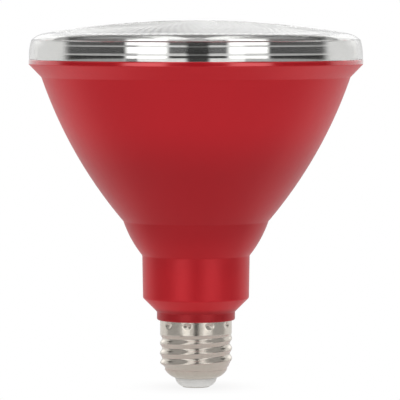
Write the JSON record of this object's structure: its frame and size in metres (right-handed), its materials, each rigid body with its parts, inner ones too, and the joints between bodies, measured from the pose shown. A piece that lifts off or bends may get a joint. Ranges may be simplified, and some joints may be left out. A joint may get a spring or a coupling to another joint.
{
  "type": "flood light bulb",
  "caption": "Wide reflector flood light bulb with a clear lens, flared red body and a medium screw base.",
  "frame": {"origin": "the middle of the centre contact's flat underside, on the lamp's axis", "axes": "+Z along the lamp's axis from the screw base to the lens; X and Y across it, the thread's start and the driver board fix which way X points"},
  "size_m": [0.1206, 0.1206, 0.1327],
  "materials": {
    "lens_clear": "clear moulded polycarbonate, glossy skirt and finely ribbed face",
    "seal_silicone": "translucent white silicone",
    "reflector_mirror": "vacuum-metallised mirror coat",
    "housing_red": "satin deep red, slightly sheened",
    "sink_aluminium": "pressed aluminium, fine drawn texture",
    "board_white": "white solder mask on an aluminium core",
    "led_package": "white package with a yellow phosphor window",
    "screw_steel": "zinc-plated steel",
    "plug_white": "ivory nylon",
    "board_green": "green solder mask on glass-fibre laminate",
    "can_sleeve": "dark heat-shrunk sleeve",
    "film_case": "yellow moulded case",
    "ferrite_grey": "dark grey sintered ferrite",
    "winding_tape": "yellow polyester tape",
    "choke_sleeve": "black heat-shrunk sleeve on a ferrite drum",
    "varistor_blue": "blue dipped epoxy",
    "chip_black": "black moulded epoxy",
    "resistor_body": "grey-green flameproof coat",
    "lead_white": "white insulated stranded lead",
    "lead_black": "black insulated stranded lead",
    "lead_red": "red insulated stranded lead",
    "shell_nickel": "bright nickel plate, rolled and staked",
    "insulator_grey": "pale grey insulating cone, matt",
    "contact_tin": "tin-plated contact, lightly dulled"
  },
  "bodies": {
    "root": {"front_lens": "lens_clear", "lens_seal": "seal_silicone", "reflector": "reflector_mirror", "housing": "housing_red", "heat_sink": "sink_aluminium", "led_board": "board_white", "board_connector": "plug_white", "board_screws": "screw_steel", "driver_board": "board_green", "input_capacitor": "can_sleeve", "output_capacitor": "can_sleeve", "film_capacitor": "film_case", "transformer_core": "ferrite_grey", "transformer_winding": "winding_tape", "choke": "choke_sleeve", "varistor": "varistor_blue", "bridge_rectifier": "chip_black", "driver_chip": "chip_black", "fusible_resistor": "resistor_body", "live_lead": "lead_black", "neutral_lead": "lead_white", "led_lead_negative": "lead_black", "led_lead_positive": "lead_red", "screw_shell": "shell_nickel", "base_insulator": "insulator_grey", "centre_contact": "contact_tin", "led_01": "led_package", "led_02": "led_package", "led_03": "led_package", "led_04": "led_package", "led_05": "led_package", "led_06": "led_package", "led_07": "led_package", "led_08": "led_package", "led_09": "led_package", "led_10": "led_package", "led_11": "led_package", "led_12": "led_package"}
  },
  "joints": []
}
